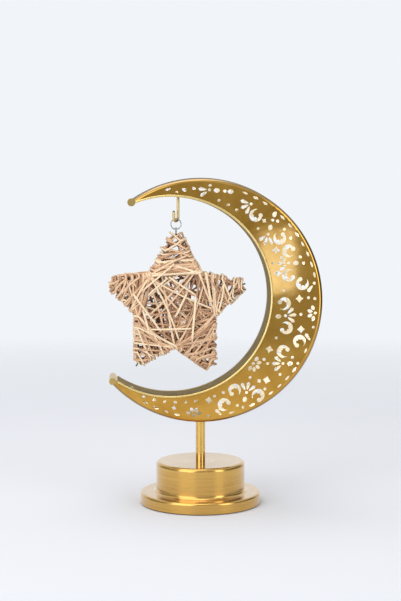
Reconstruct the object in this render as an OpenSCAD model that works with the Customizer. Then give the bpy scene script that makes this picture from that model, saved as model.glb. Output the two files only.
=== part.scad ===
// Crescent table ornament: a pierced sheet-metal crescent on a spun base,
// with a rattan-wound star that hangs in its bay from a hook and a jump ring.
// The front faces -Y and the stem stands on the Z axis.

/* [Base] */
// Diameter of the flange that the ornament stands on
flange_d = 112.8; // [106:0.2:120]
// Height of the flange's top face above the table
flange_top = 10.9; // [10:0.1:12.5]
// Diameter of the drum on the flange
drum_d = 83.2; // [78:0.2:90]
// Height of the drum's top face above the table
drum_top = 39.4; // [36:0.1:44]
// Thickness of the spun base sheet
base_sheet = 1.0; // [0.8:0.1:1.2]
// Radius of the rolled edge round the drum's top
drum_edge_r = 3.2; // [2.6:0.1:4]
// Radius of the hollow between drum and flange
drum_foot_r = 3.0; // [2:0.1:4]
// Radius of the rolled edge round the flange's top
flange_edge_r = 2.2; // [1.6:0.1:3]
// Thickness of the foam pad underneath
pad_t = 2.0; // [1.6:0.1:2.4]
// Depth of the sheet's rim beside the foam pad
rim_over_pad = 1.2; // [0.6:0.1:1.4]
// Thickness of the steel plate that closes the base
plate_t = 1.5; // [1.2:0.1:2]
// Thickness of the cast ballast disc
ballast_t = 8.0; // [6:0.5:10]
// Diameter of each screw pillar on the ballast disc
pillar_d = 10.0; // [9:0.5:12]
// Distance of the pillars from the stem's axis
pillar_reach = 27.0; // [24:0.5:30]
// Number of screws that hold the closing plate
screw_count = 3; // [3:1:4]
// Diameter of the plate screws
screw_d = 4.0; // [3:0.1:4.4]
// Length of the plate screws
screw_len = 12.0; // [10:0.5:16]

/* [Stem] */
// Outer diameter of the stem tube
stem_d = 8.8; // [8:0.1:10]
// Wall of the stem tube
stem_wall = 1.0; // [0.8:0.1:1.3]
// Diameter of the threaded rod inside the stem
rod_d = 5.0; // [4.5:0.1:5.4]
// Height of the two nuts on the rod
nut_t = 4.0; // [3:0.1:5]
// Width across flats of the two nuts
nut_flats = 8.0; // [7.6:0.1:9]
// Thickness of the washers on the rod
washer_t = 1.0; // [0.8:0.1:1.4]
// Diameter of the washers on the rod
washer_d = 11.0; // [10:0.5:13]
// Length of the rod's free end above its upper nut
rod_end = 7.5; // [4:0.5:9]

/* [Crescent] */
// Height of the crescent's centre above the table
moon_z = 190.1; // [188:0.1:196]
// Radius of the crescent's outer edge
moon_r = 112.7; // [110:0.1:116]
// Radius of the round bay
bay_r = 92.17; // [90:0.01:94]
// Distance of the bay's centre to the left of the crescent's centre
bay_left = 27.5; // [26:0.1:30]
// Distance of the bay's centre above the crescent's centre
bay_up = 4.15; // [3:0.05:5]
// Depth of the crescent from front sheet to back sheet
moon_depth = 36.0; // [32:0.5:40]
// Thickness of the pierced sheets
moon_sheet = 0.8; // [0.6:0.1:1]
// Radius between the flat sheets and the outer edge
moon_corner_r = 4.0; // [3:0.5:5]
// Angle of the upper horn's round end, from the right-hand side upwards
upper_horn_a = 125.2; // [124:0.1:127]
// Diameter of the upper horn's round end
upper_tip_d = 7.2; // [7:0.1:8]
// Angle of the lower horn's round end, from the right-hand side downwards
lower_horn_a = 138.2; // [138:0.1:141]
// Diameter of the lower horn's round end
lower_tip_d = 6.4; // [6.4:0.1:7]
// Thickness of the band round the bay
band_t = 0.8; // [0.6:0.1:1.2]
// Diameter of the wires along the front and back rims
rim_wire_d = 2.0; // [1.6:0.1:2.4]
// Distance that the rim wires stand proud of the sheets
rim_proud = 0.4; // [0.2:0.1:0.8]
// Width of the strip that covers the outer seam
seam_w = 3.0; // [2:0.1:5]
// Thickness of the strip that covers the outer seam
seam_t = 0.8; // [0.6:0.1:1]

/* [Piercing] */
// Distance of the palmettes from their flower's centre
palmette_reach = 27.5; // [26:0.5:29]
// Size of one scroll of a palmette
scroll_d = 11.8; // [11:0.1:13]
// Length of a palmette's petals
petal_len = 8.0; // [7:0.1:8.4]
// Length of the leaf slits along the outer edge
slit_len = 5.6; // [4:0.1:6]
// Length of the long slots in the bay's band
band_slot_len = 6.5; // [5:0.1:8]
// Length of the short slots in the bay's band
band_dot_len = 1.8; // [1.2:0.1:2]
// Width of the slots in the bay's band, from its front edge backwards
band_slot_w = 6.0; // [4:0.5:7]

/* [Hanging] */
// Distance of the hanging star to the left of the stem
hang_left = 22.6; // [20:0.1:25]
// Height of the hook's lowest centre point above the table
hook_z = 263.0; // [262:0.1:265]
// Diameter of the hook's wire
hook_wire_d = 2.5; // [2.2:0.1:2.8]
// Distance between the hook's shank and its tip, middle to middle
hook_gap = 7.3; // [6.8:0.1:8]
// Turn of the hook about its shank, from pointing forwards to the left
hook_turn = 35; // [25:1:45]
// Height of the hook's tip above its lowest centre point
hook_tip_h = 9.8; // [8:0.1:11]
// Outer diameter of the jump ring
ring_d = 10.5; // [10:0.1:11.5]
// Diameter of the jump ring's wire
ring_wire_d = 1.1; // [0.9:0.1:1.3]
// Outer diameter of the eye on the star
eye_d = 5.6; // [5.2:0.1:6.2]
// Diameter of the eye's wire
eye_wire_d = 1.2; // [1:0.1:1.4]

/* [Star] */
// Reach of the star's top tip from its centre
star_reach = 66.6; // [62:0.1:68]
// Reach of the star's notches from its centre
notch_reach = 36.3; // [34:0.1:38]
// Half the star's depth at its notches
star_half_depth = 15.0; // [13:0.1:17]
// Diameter of the star's frame wire
frame_wire_d = 1.6; // [1.4:0.1:2]
// Diameter of the rattan strand
strand_d = 2.2; // [1.8:0.1:2.4]
// Number of turns round each arm
arm_turns = 3.75; // [2.75:0.25:3.75]

/* [Hidden] */
$fn = 64;

// Overrun of every cut past the face that it leaves
over = 1.0;
// Gap between pieces that sit on each other
seat = 0.05;
// Gap between a rod or screw and its hole
slip = 0.15;
// Gap between pieces that hang in each other, and between strands and frame
hang = 0.3;

flange_r = flange_d / 2;
drum_r = drum_d / 2;
plate_z = pad_t;
plate_top = plate_z + plate_t;
plate_r = flange_r - base_sheet - hang;
pad_r = plate_r - over;
ballast_top = drum_top - base_sheet - seat;
ballast_z = ballast_top - ballast_t;
ballast_r = drum_r - drum_edge_r - base_sheet;
screw_head_d = 1.9 * screw_d;
screw_head_h = 0.3 * screw_d;

shell_r = moon_r - seam_t;
half_depth = moon_depth / 2;
moon_bottom = moon_z - shell_r;
saddle_t = 3.0;
saddle_r = shell_r - moon_sheet - seat;
saddle_half_w = 8.0;
saddle_half_a = 6;
stem_top = moon_bottom - seat;
upper_washer_z = moon_z - sqrt(pow(saddle_r - saddle_t, 2) - pow(washer_d / 2, 2)) + seat;
upper_nut_z = upper_washer_z + washer_t + seat;
rod_top = upper_nut_z + nut_t + rod_end;
lower_washer_z = ballast_z - seat - washer_t;
lower_nut_z = lower_washer_z - seat - nut_t;
rod_tail = 2.0;
rod_z = lower_nut_z - rod_tail;

bay_off = norm([bay_left, bay_up]);
bay_a = atan2(bay_up, -bay_left);
rim_r = rim_wire_d / 2;
rim_h = half_depth + rim_proud - rim_r;
band_half_w = rim_h - rim_r - seat;
horn_span = upper_horn_a + lower_horn_a;

hook_r = hook_wire_d / 2;
bend_r = hook_gap / 2;
shank = [-hang_left + bend_r * sin(hook_turn), bend_r * cos(hook_turn)];
hook_nut_flats = 2.1 * hook_wire_d;
hook_nut_t = hook_wire_d;
hook_nut_r = hook_nut_flats / 2 / cos(30);
crown_z = moon_z + bay_up + sqrt(pow(bay_r + band_t / 2, 2)
  - pow(max(0, abs(shank[0] + bay_left) - hook_nut_r), 2));
hook_nut_z = crown_z + 2 * seat;
shank_top = hook_nut_z + hook_nut_t + hook_r;

ring_wire_r = ring_wire_d / 2;
ring_r = ring_d / 2 - ring_wire_r;
ring_z = hook_z + hook_r + hang + ring_wire_r - ring_r;
ring_split_a = 5;
eye_wire_r = eye_wire_d / 2;
eye_r = eye_d / 2 - eye_wire_r;
eye_z = ring_z - ring_r + ring_wire_r + hang + eye_wire_r - eye_r;

frame_r = frame_wire_d / 2;
joint_r = 1.25 * frame_r;
star_z = eye_z - eye_r - eye_wire_r - 2 * seat - joint_r - star_reach;

// Turns of the star's five arms and notches off an even star, in degrees
tip_turns = [0, -2, 2, -6, 0];
notch_turns = [3, -6, -3, 8, 2];
// Reach of the arms and notches, as shares of the top arm's and the notches' reach
tip_shares = [1, 0.98, 0.955, 0.96, 0.97];
notch_shares = [1.02, 0.98, 0.94, 0.95, 1];
arm_count = len(tip_turns);
arm_a = 360 / arm_count;
first_arm_a = 90;
start_turn_share = 0.14;
last_turn_share = 0.8;
rings_per_turn = 24;
strand_sides = 6;
strand_r = strand_d / 2;
body_lift = frame_r + strand_r + 2 * hang;
pass_shift = strand_r + hang;
pass_step = strand_d + 2 * hang;
weave_rise = strand_r + 4 * hang;
body_halves = 2 * arm_count;

// Piercing: places and shares of the sizes above, chosen by hand
// Each flower's reach and angle from the crescent's centre, and the angles of the palmettes
// and of the stars round it
flower_table = [
  [108.6, -137, [20], [60]],
  [105.3, -94, [-3, 183], [45, 135]],
  [74.7, -50.4, [-103, 0], [-51, 42]],
  [105.2, -6, [92, 185, 263], [138, 229]],
  [62.8, 33.8, [0, 72], [-28, 36]],
  [81, 76, [22], []],
  [106, 101, [-5, 176], [228, -48]]];
flower_d = 16.0;
small_star_d = 7.4;
dot_d = 2.8;
sheet_edge = 0.5;
bridge = 1.0;
slit_a = 5.5;
filler_d = 4.6;
filler_a = 5.6;
filler_row_shares = [0.24, 0.48, 0.7];
petal_fan_a = 40;
scroll_lean_a = 24;
petal_slim_share = 0.8;
petal_swell_share = 0.2;
petal_reach_share = 0.8;
petal_wide_share = 0.42;
star_leaf_share = 0.42;
star_core_share = 0.5;
scroll_eye_share = 0.42;
scroll_hollow_share = 0.62;
scroll_mouth_share = 0.6;
scroll_nick_share = 0.13;
scroll_ball_shares = [0.52, 0.56, 0.34];
scroll_reach_share = 0.95;
flower_leaf_share = 0.31;
flower_wide_share = 0.2;
flower_reach_share = 0.33;
star_reach_share = 1.24;
flower_dot_share = 0.83;
back_leaf_share = 0.24;
back_wide_share = 0.15;
back_dot_share = 0.5;
far_leaf_share = 0.7;
slit_wide_share = 0.36;
// Distance of a dot from a long slot's middle, as a share of the slot's length
dot_reach_share = 0.88;

// Polar reach of a circle about the bay's centre, seen from the crescent's centre
function bay_reach(a, r) = bay_off * cos(a - bay_a) + sqrt(pow(r, 2) - pow(bay_off * sin(a - bay_a), 2));
function polar(r, a) = [r * cos(a), r * sin(a)];
// Points on the star's plane: the tips and the notches that follow them
function tip(i) = polar(star_reach * tip_shares[i % arm_count],
  first_arm_a + i * arm_a + tip_turns[i % arm_count]);
function notch_angle(i) = first_arm_a + (i + 1 / 2) * arm_a + notch_turns[i % arm_count];
function notch(i) = polar(notch_reach * notch_shares[i % arm_count], notch_angle(i));
function lift(p, h) = [p[0], p[1], h];
function unit(v) = v / norm(v);

// Turns the plane of children to face the front, with their +Z towards -Y
module facing(at) {
  translate(at) rotate([90, 0, 0]) children();
}
module moon_place() {
  facing([0, 0, moon_z]) children();
}
module star_place() {
  facing([-hang_left, 0, star_z]) children();
}

// Base
module rounded_block(w, h, r) {
  union() {
    translate([0, -flange_top]) square([w - r, h + flange_top]);
    translate([0, -flange_top]) square([w, h - r + flange_top]);
    translate([w - r, h - r]) circle(r);
  }
}
module base_section(inset) {
  foot = drum_foot_r + inset;
  union() {
    rounded_block(flange_r - inset, flange_top - inset, flange_edge_r - inset);
    rounded_block(drum_r - inset, drum_top - inset, drum_edge_r - inset);
    translate([drum_r - inset, flange_top - inset]) difference() {
      square([foot, foot]);
      translate([foot, foot]) circle(foot);
    }
  }
}
module base_shell() {
  color("goldenrod") rotate_extrude() difference() {
    base_section(0);
    base_section(base_sheet);
    translate([0, pad_t - rim_over_pad - 2 * flange_top]) square([2 * flange_r, 2 * flange_top]);
    square([rod_d / 2 + slip, drum_top + over]);
  }
}
module pillar_spots() {
  for (k = [0 : screw_count - 1])
    rotate([0, 0, first_arm_a + k * 360 / screw_count]) translate([pillar_reach, 0, 0]) children();
}
module ballast_disc() {
  pillar_z = plate_top + seat;
  color("dimgray") difference() {
    union() {
      translate([0, 0, ballast_z]) cylinder(r = ballast_r, h = ballast_t);
      pillar_spots() translate([0, 0, pillar_z])
        cylinder(d = pillar_d, h = ballast_z - pillar_z + ballast_t / 2);
    }
    translate([0, 0, ballast_z - over]) cylinder(d = rod_d + 2 * slip, h = ballast_t + 2 * over);
    pillar_spots() translate([0, 0, pillar_z - over])
      cylinder(d = screw_d + 2 * slip, h = screw_len + over);
  }
}
module base_plate() {
  color("silver") difference() {
    translate([0, 0, plate_z]) cylinder(r = plate_r, h = plate_t);
    pillar_spots() translate([0, 0, plate_z - over])
      cylinder(d = screw_d + 2 * slip, h = plate_t + 2 * over);
    pillar_spots() translate([0, 0, plate_z - over])
      cylinder(d = screw_head_d + 2 * slip, h = screw_head_h + seat + over);
  }
}
module base_screws() {
  color("lightgray") pillar_spots() translate([0, 0, plate_z]) union() {
    cylinder(d = screw_head_d, h = screw_head_h);
    translate([0, 0, screw_head_h / 2]) cylinder(d = screw_d, h = screw_len - screw_head_h / 2);
  }
}
module foot_pad() {
  color("dimgray") cylinder(r = pad_r, h = pad_t);
}

// Stem and the rod that clamps the pieces together
module stem_tube() {
  stem_z = drum_top + seat;
  color("gold") translate([0, 0, stem_z]) difference() {
    cylinder(d = stem_d, h = stem_top - stem_z);
    translate([0, 0, -over]) cylinder(d = stem_d - 2 * stem_wall, h = stem_top - stem_z + 2 * over);
  }
}
module tie_rod() {
  color("dimgray") translate([0, 0, rod_z]) cylinder(d = rod_d, h = rod_top - rod_z);
}
module washer_at(z) {
  color("silver") translate([0, 0, z]) difference() {
    cylinder(d = washer_d, h = washer_t);
    translate([0, 0, -over]) cylinder(d = rod_d + 2 * slip, h = washer_t + 2 * over);
  }
}
module hex_nut(flats, t, bore) {
  difference() {
    cylinder(d = flats / cos(30), h = t, $fn = 6);
    translate([0, 0, -over]) cylinder(d = bore, h = t + 2 * over);
  }
}
module lower_washer() {
  washer_at(lower_washer_z);
}
module lower_nut() {
  color("silver") translate([0, 0, lower_nut_z]) hex_nut(nut_flats, nut_t, rod_d + 2 * slip);
}
module upper_washer() {
  washer_at(upper_washer_z);
}
module upper_nut() {
  color("silver") translate([0, 0, upper_nut_z]) hex_nut(nut_flats, nut_t, rod_d + 2 * slip);
}
module moon_saddle() {
  color("silver") moon_place() difference() {
    rotate_extrude(start = -90 - saddle_half_a, angle = 2 * saddle_half_a)
      translate([saddle_r - saddle_t, -saddle_half_w]) square([saddle_t, 2 * saddle_half_w]);
    rod_hole();
  }
}
// The rod's hole through the crescent's edge, in the crescent's own plane
module rod_hole() {
  translate([0, -shell_r - over, 0]) rotate([-90, 0, 0])
    cylinder(d = rod_d + 2 * slip, h = 2 * saddle_t + 2 * over);
}

// Piercing: the shapes that are cut through the front and back sheets
module leaf(l, w) {
  r = (pow(l, 2) + pow(w, 2)) / (4 * w);
  intersection() {
    translate([0, r - w / 2]) circle(r);
    translate([0, w / 2 - r]) circle(r);
  }
}
// A petal: a leaf with a round swelling near its outer end
module petal(l, w) {
  leaf(l, w * petal_slim_share);
  translate([l * petal_swell_share, 0]) circle(d = w);
}
module small_star(d) {
  for (a = [0, 90]) rotate(a) leaf(d, d * star_leaf_share);
  square(d * star_core_share, center = true);
}
// A C scroll that opens towards +X, with a ball on its upper end and nicks inside
module scroll(d) {
  r = d / 2;
  eye_x = r * scroll_eye_share;
  hollow_r = r * scroll_hollow_share;
  difference() {
    circle(r);
    translate([eye_x, 0]) circle(hollow_r);
    translate([eye_x, -hollow_r * scroll_mouth_share]) square([d, 2 * hollow_r * scroll_mouth_share]);
    for (a = [140, 180, 220]) translate([eye_x, 0] + polar(hollow_r, a)) circle(r * scroll_nick_share);
  }
  translate([r * scroll_ball_shares[0], r * scroll_ball_shares[1]]) circle(r * scroll_ball_shares[2]);
}
// The pattern: flowers, each amid palmettes and stars, as on a sheet from which the
// crescent is cut. Each shape is listed with its place, angle and radius, and is pierced
// where it fits between the bay's rim and the rolled edge.
flat_r = shell_r - moon_corner_r;
function fits(shape) = norm(shape[1]) < flat_r - sheet_edge - shape[3]
  && norm(shape[1] + [bay_left, -bay_up]) > bay_r + rim_r + sheet_edge + shape[3];
function clear_of(shape, others) = min([for (o = others) norm(shape[1] - o[1]) - shape[3] - o[3]]) > bridge;
function flower_shapes(f, palmettes, stars) = concat(
  [["dot", f, 0, dot_d / 2]],
  [for (k = [0 : 7]) let (a = palmettes[0] + 22.5 + 45 * k)
    ["petal_leaf", f + polar(flower_d * flower_reach_share, a), a, flower_d * flower_leaf_share / 2]],
  [for (a = palmettes) ["dot", f + polar(flower_d * flower_dot_share, a), 0, dot_d / 2]],
  [for (a = stars) ["star", f + polar(flower_d * star_reach_share, a), palmettes[0], small_star_d / 2]]);
// A palmette: a bud, three petals towards the flower, leaves and a dot behind, two scrolls
function palmette_shapes(f, a) = let (b = f + polar(palmette_reach, a)) concat(
  [["dot", b, 0, dot_d / 2]],
  [for (k = [-1, 0, 1]) let (p = a + 180 + k * petal_fan_a)
    ["petal", b + polar(petal_len * petal_reach_share, p), p, petal_len / 2]],
  [for (share = [back_leaf_share, far_leaf_share])
    ["leaf", b + polar(palmette_reach * share, a), a, slit_len / 2]],
  [["dot", b + polar(palmette_reach * back_dot_share, a), 0, dot_d / 2]],
  [for (m = [-1, 1]) [m > 0 ? "upper_scroll" : "lower_scroll",
    b + polar(scroll_d * scroll_reach_share, a + 90 * m), a, scroll_d / 2]]);
cut_shapes = [for (row = flower_table)
  let (f = polar(row[0], row[1]),
    shapes = concat(flower_shapes(f, row[2], row[3]), [for (a = row[2]) each palmette_shapes(f, a)]))
  for (shape = shapes) if (fits(shape)) shape];
// Slits along the outer edge and small stars and dots between, where room is left
edge_shapes = concat(cut_shapes, [for (a = [slit_a / 2 - lower_horn_a : slit_a : upper_horn_a])
  let (r = flat_r - sheet_edge - slit_len * slit_wide_share / 2,
    shape = ["slit", polar(r, a), a + 90, slit_len / 2])
  if (r - bay_reach(a, bay_r) > slit_len && clear_of(shape, cut_shapes)) shape]);
fillers = [for (a = [filler_a - lower_horn_a : filler_a : upper_horn_a], k = [0 : len(filler_row_shares) - 1])
  let (inner = bay_reach(a, bay_r), d = k == 1 ? filler_d : dot_d,
    shape = [k == 1 ? "filler" : "dot", polar(inner + (moon_r - inner) * filler_row_shares[k], a), a, d / 2])
  if (fits(shape) && clear_of(shape, edge_shapes)) shape];
module cut_shape(kind) {
  if (kind == "dot") circle(d = dot_d);
  if (kind == "petal_leaf") leaf(flower_d * flower_leaf_share, flower_d * flower_wide_share);
  if (kind == "star") small_star(small_star_d);
  if (kind == "filler") small_star(filler_d);
  if (kind == "petal") petal(petal_len, petal_len * petal_wide_share);
  if (kind == "leaf") leaf(slit_len, palmette_reach * back_wide_share);
  if (kind == "slit") leaf(slit_len, slit_len * slit_wide_share);
  if (kind == "upper_scroll") rotate(-scroll_lean_a) scroll(scroll_d);
  if (kind == "lower_scroll") mirror([0, 1]) rotate(-scroll_lean_a) scroll(scroll_d);
}
module cut_out(shapes) {
  for (shape = shapes) translate(shape[1]) rotate(shape[2]) cut_shape(shape[0]);
}

// Half a shell: a flat sheet with a rolled edge, pierced by the shapes
module half_shell_section() {
  intersection() {
    difference() {
      shell_block(0);
      shell_block(moon_sheet);
    }
    translate([moon_r / 2, seat / 2]) square([moon_r, moon_depth]);
  }
}
module shell_block(inset) {
  r = moon_corner_r - inset;
  union() {
    square([shell_r - inset - r, half_depth - inset]);
    square([shell_r - inset, half_depth - inset - r]);
    translate([shell_r - inset - r, half_depth - inset - r]) circle(r);
  }
}
// The round ends of the horns, halfway between the outer edge and the bay's rim
function nose_reach(a) = (moon_r + bay_reach(a, bay_r) - rim_r) / 2;
module noses(grow, h) {
  for (end = [[upper_horn_a, upper_tip_d], [-lower_horn_a, lower_tip_d]])
    rotate(end[0]) translate([nose_reach(end[0]), 0, -h]) cylinder(r = end[1] / 2 + grow, h = 2 * h);
}
module half_shell() {
  difference() {
    rotate_extrude(start = -lower_horn_a, angle = horn_span) half_shell_section();
    translate([-bay_left, bay_up, -over]) cylinder(r = bay_r + band_t / 2 + seat, h = moon_depth);
    translate([-bay_left, bay_up, band_half_w]) cylinder(r = bay_r + rim_r + seat, h = moon_depth);
    noses(seat, moon_depth);
    rod_hole();
    translate([0, 0, half_depth - moon_sheet - over]) linear_extrude(moon_sheet + 2 * over)
      for (shape = concat(edge_shapes, fillers)) translate(shape[1]) rotate(shape[2]) cut_shape(shape[0]);
  }
}
module moon_front_shell() {
  color("goldenrod") moon_place() half_shell();
}
module moon_back_shell() {
  color("goldenrod") mirror([0, 1, 0]) moon_place() half_shell();
}

// Band, rim wires and seam of the crescent
module bay_place() {
  translate([-bay_left, bay_up, 0]) children();
}
// Angle about the bay's centre of a horn's tip, which lies at angle a about the crescent's
function horn_in_bay(a) = let (p = polar(bay_reach(a, bay_r), a)) atan2(p[1] - bay_up, p[0] + bay_left);
band_start = horn_in_bay(-lower_horn_a);
band_span = horn_in_bay(upper_horn_a) - band_start;
band_pitch = 2.7 * band_slot_len;
band_slots = floor(band_span * PI / 180 * bay_r / band_pitch) - 1;
dot_a = band_slot_len * dot_reach_share / bay_r * 180 / PI;
// The rim wires stop at the horns' round ends
wire_start = band_start + (lower_tip_d / 2 + seat) / bay_r * 180 / PI;
wire_span = band_start + band_span - (upper_tip_d / 2 + seat) / bay_r * 180 / PI - wire_start;
module band_slot(w, l) {
  translate([bay_r - over - band_t, -l / 2, -w / 2]) cube([2 * (over + band_t), l, w]);
}
module moon_inner_band() {
  color("darkgoldenrod") difference() {
    moon_place() difference() {
      union() {
        bay_place() rotate_extrude(start = band_start, angle = band_span)
          translate([bay_r - band_t / 2, -band_half_w]) square([band_t, 2 * band_half_w]);
        noses(0, half_depth + rim_proud);
      }
      bay_place() for (k = [1 : band_slots]) rotate(band_start + k * band_span / (band_slots + 1))
        translate([0, 0, band_half_w - 2 * band_t - band_slot_w / 2]) {
          band_slot(band_slot_w, band_slot_len);
          for (m = [-1, 1]) rotate(m * dot_a) band_slot(band_slot_w, band_dot_len);
        }
    }
    translate([shank[0], shank[1], hook_z]) cylinder(d = hook_wire_d + 2 * slip, h = shank_top - hook_z);
  }
}
module rim_wire(h) {
  color("khaki") moon_place() bay_place() translate([0, 0, h]) {
    rotate_extrude(start = wire_start, angle = wire_span) translate([bay_r, 0]) circle(rim_r);
  }
}
module front_rim_wire() {
  rim_wire(rim_h);
}
module back_rim_wire() {
  rim_wire(-rim_h);
}
module outer_seam_strip() {
  color("olive") difference() {
    moon_place() difference() {
      rotate_extrude(start = -lower_horn_a, angle = horn_span)
        translate([shell_r + seat, -seam_w / 2]) square([seam_t - seat, seam_w]);
      noses(seat, moon_depth);
    }
    translate([0, 0, stem_top - over]) cylinder(d = stem_d + 2 * slip, h = 2 * over + moon_sheet);
  }
}

// Hook, ring and eye
module hook() {
  color("gold") translate([-hang_left, 0, hook_z + bend_r]) rotate([0, 0, 90 - hook_turn]) union() {
    rotate([90, 0, 0]) rotate_extrude(start = 180, angle = 180) translate([bend_r, 0]) circle(hook_r);
    translate([bend_r, 0, 0]) cylinder(r = hook_r, h = shank_top - hook_z - bend_r);
    translate([-bend_r, 0, 0]) cylinder(r = hook_r, h = hook_tip_h - bend_r - hook_r);
    translate([-bend_r, 0, hook_tip_h - bend_r - hook_r]) cylinder(r1 = hook_r, r2 = hook_r / 2, h = hook_r);
  }
}
module hook_nut() {
  color("silver") translate([shank[0], shank[1], hook_nut_z])
    hex_nut(hook_nut_flats, hook_nut_t, hook_wire_d + 2 * seat);
}
module jump_ring() {
  color("silver") facing([-hang_left, 0, ring_z])
    rotate_extrude(start = ring_split_a / 2, angle = 360 - ring_split_a)
      translate([ring_r, 0]) circle(ring_wire_r);
}
module star_eye() {
  color("silver") translate([-hang_left, 0, eye_z]) rotate([0, 90, 0])
    rotate_extrude() translate([eye_r, 0]) circle(eye_wire_r);
}

// Star: a wire frame of two outlines that meet at the tips, spread apart at the notches
module rod_between(p, q, r) {
  v = q - p;
  translate(p) rotate([0, acos(v[2] / norm(v)), atan2(v[1], v[0])]) cylinder(r = r, h = norm(v));
}
module star_wire_frame() {
  color("dimgray") star_place() union() {
    for (i = [0 : arm_count - 1]) {
      translate(lift(tip(i), 0)) sphere(joint_r);
      rod_between(lift(notch(i), -star_half_depth), lift(notch(i), star_half_depth), frame_r);
      for (h = [-star_half_depth, star_half_depth]) {
        translate(lift(notch(i), h)) sphere(joint_r);
        rod_between(lift(tip(i), 0), lift(notch(i), h), frame_r);
        rod_between(lift(tip(i + 1), 0), lift(notch(i), h), frame_r);
      }
    }
  }
}

// A tube of triangles along a path, with its rings turned as little as possible
function path_way(path, i) = unit(path[min(i + 1, len(path) - 1)] - path[max(i - 1, 0)]);
function square_to(v, way) = unit(v - (v * way) * way);
first_side_shares = [0.31, 0.17, 1];
function ring_sides(path) = [
  for (i = 0, v = square_to(first_side_shares, path_way(path, 0)); i < len(path);
    i = i + 1, v = square_to(v, path_way(path, i))) v];
function tube_points(path, r) = let (sides = ring_sides(path)) [
  for (i = [0 : len(path) - 1], j = [0 : strand_sides - 1])
    let (way = path_way(path, i), side = sides[i], turn = j * 360 / strand_sides)
      path[i] + r * (cos(turn) * side + sin(turn) * cross(way, side))];
function tube_faces(rings) = let (n = strand_sides, last = (rings - 1) * n) concat(
  [for (j = [1 : n - 2]) [0, j, j + 1]],
  [for (i = [0 : rings - 2], j = [0 : n - 1]) let (k = (j + 1) % n)
    [i * n + j, (i + 1) * n + j, (i + 1) * n + k]],
  [for (i = [0 : rings - 2], j = [0 : n - 1]) let (k = (j + 1) % n)
    [i * n + j, (i + 1) * n + k, i * n + k]],
  [for (j = [1 : n - 2]) [last, last + j + 1, last + j]]);
module strand(path) {
  polyhedron(points = tube_points(path, strand_r), faces = tube_faces(len(path)));
}
// Least gap between two runs of ring centres, less the strand's own diameter
function least_gap(p, q, same, skip) = min([
  for (i = [0 : len(p) - 1], j = [(same ? i + skip : 0) : 1 : len(q) - 1]) norm(p[i] - q[j])]) - strand_d;

// Turns round arm i: corners on the four frame wires, lifted clear of them
function arm_ring(i, share, turn) = let (
    a = tip(i), l = notch(i + arm_count - 1), r = notch(i),
    along = unit((l + r) / 2 - a), wire = norm(lift(r - a, star_half_depth)),
    rise = (frame_r + strand_r + hang) * wire / ((r - a) * along),
    p = lift(a + ((cos(turn) > 0 ? l : r) - a) * share, sign(sin(turn)) * star_half_depth * share),
    across = unit(l - r))
  p + rise * (cos(turn) * lift(across, 0) + sin(turn) * [0, 0, 1]);
function arm_path(i) = [
  for (k = [0 : round(arm_turns * rings_per_turn) - 1])
    let (step = 360 / rings_per_turn, done = k / (arm_turns * rings_per_turn))
      arm_ring(i, start_turn_share + (last_turn_share - start_turn_share) * done, (k + 1 / 2) * step)];
// Turns over the body: taut chords from notch to notch but one, woven over and under,
// with every second chord behind the body
function notch_point(i, level, side, turn, face) = let (a = notch_angle(i))
  lift(notch(i) + polar(level * pass_step + body_lift * sin(turn), a) + polar(side * pass_shift, a + 90),
    face * (star_half_depth + body_lift * cos(turn)));
function body_half(h) = let (
    i = 2 * h, face = h % 2 == 0 ? 1 : -1,
    first = h % 2 == 0 ? 1 : 0, last = 1 - first,
    p = notch_point(i, first, 1, 0, face), q = notch_point(i + 2, last, -1, 0, face),
    chords = rings_per_turn / 4)
  concat(
    [for (turn = [90, 45, 0]) notch_point(i, first, 1, turn, face)],
    [for (k = [1 : chords]) let (f = k / (chords + 1))
      p + (q - p) * f + [0, 0, face * weave_rise * sin(360 * f)]],
    [for (turn = [0, 45, 90]) notch_point(i + 2, last, -1, turn, face)]);
body_path = [for (h = [0 : body_halves - 1]) each body_half(h)];
arm_paths = [for (i = [0 : arm_count - 1]) arm_path(i)];

module rattan_arm_wraps() {
  color("burlywood") star_place() for (i = [0 : arm_count - 1]) strand(arm_paths[i]);
}
module rattan_body_wraps() {
  color("tan") star_place() strand(body_path);
}
own_skip = rings_per_turn / 4;
echo(arm_strand_gap = min([for (p = arm_paths) least_gap(p, p, true, own_skip)]));
echo(neighbour_arm_gap = min([for (i = [0 : arm_count - 1])
  least_gap(arm_paths[i], arm_paths[(i + 1) % arm_count], false, 0)]));
echo(body_strand_gap = least_gap(body_path, body_path, true, own_skip));
echo(body_to_arm_gap = min([for (p = arm_paths) least_gap(body_path, p, false, 0)]));

base_shell();
ballast_disc();
base_plate();
base_screws();
foot_pad();
stem_tube();
tie_rod();
lower_washer();
lower_nut();
moon_saddle();
upper_washer();
upper_nut();
moon_front_shell();
moon_back_shell();
moon_inner_band();
front_rim_wire();
back_rim_wire();
outer_seam_strip();
hook();
hook_nut();
jump_ring();
star_eye();
star_wire_frame();
rattan_arm_wraps();
rattan_body_wraps();
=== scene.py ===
"""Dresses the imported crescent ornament: spun base, pierced gold crescent and rattan-wound star."""
import logging
import math
from dataclasses import dataclass, fields
from enum import Enum
from random import Random
from typing import Sequence

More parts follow.
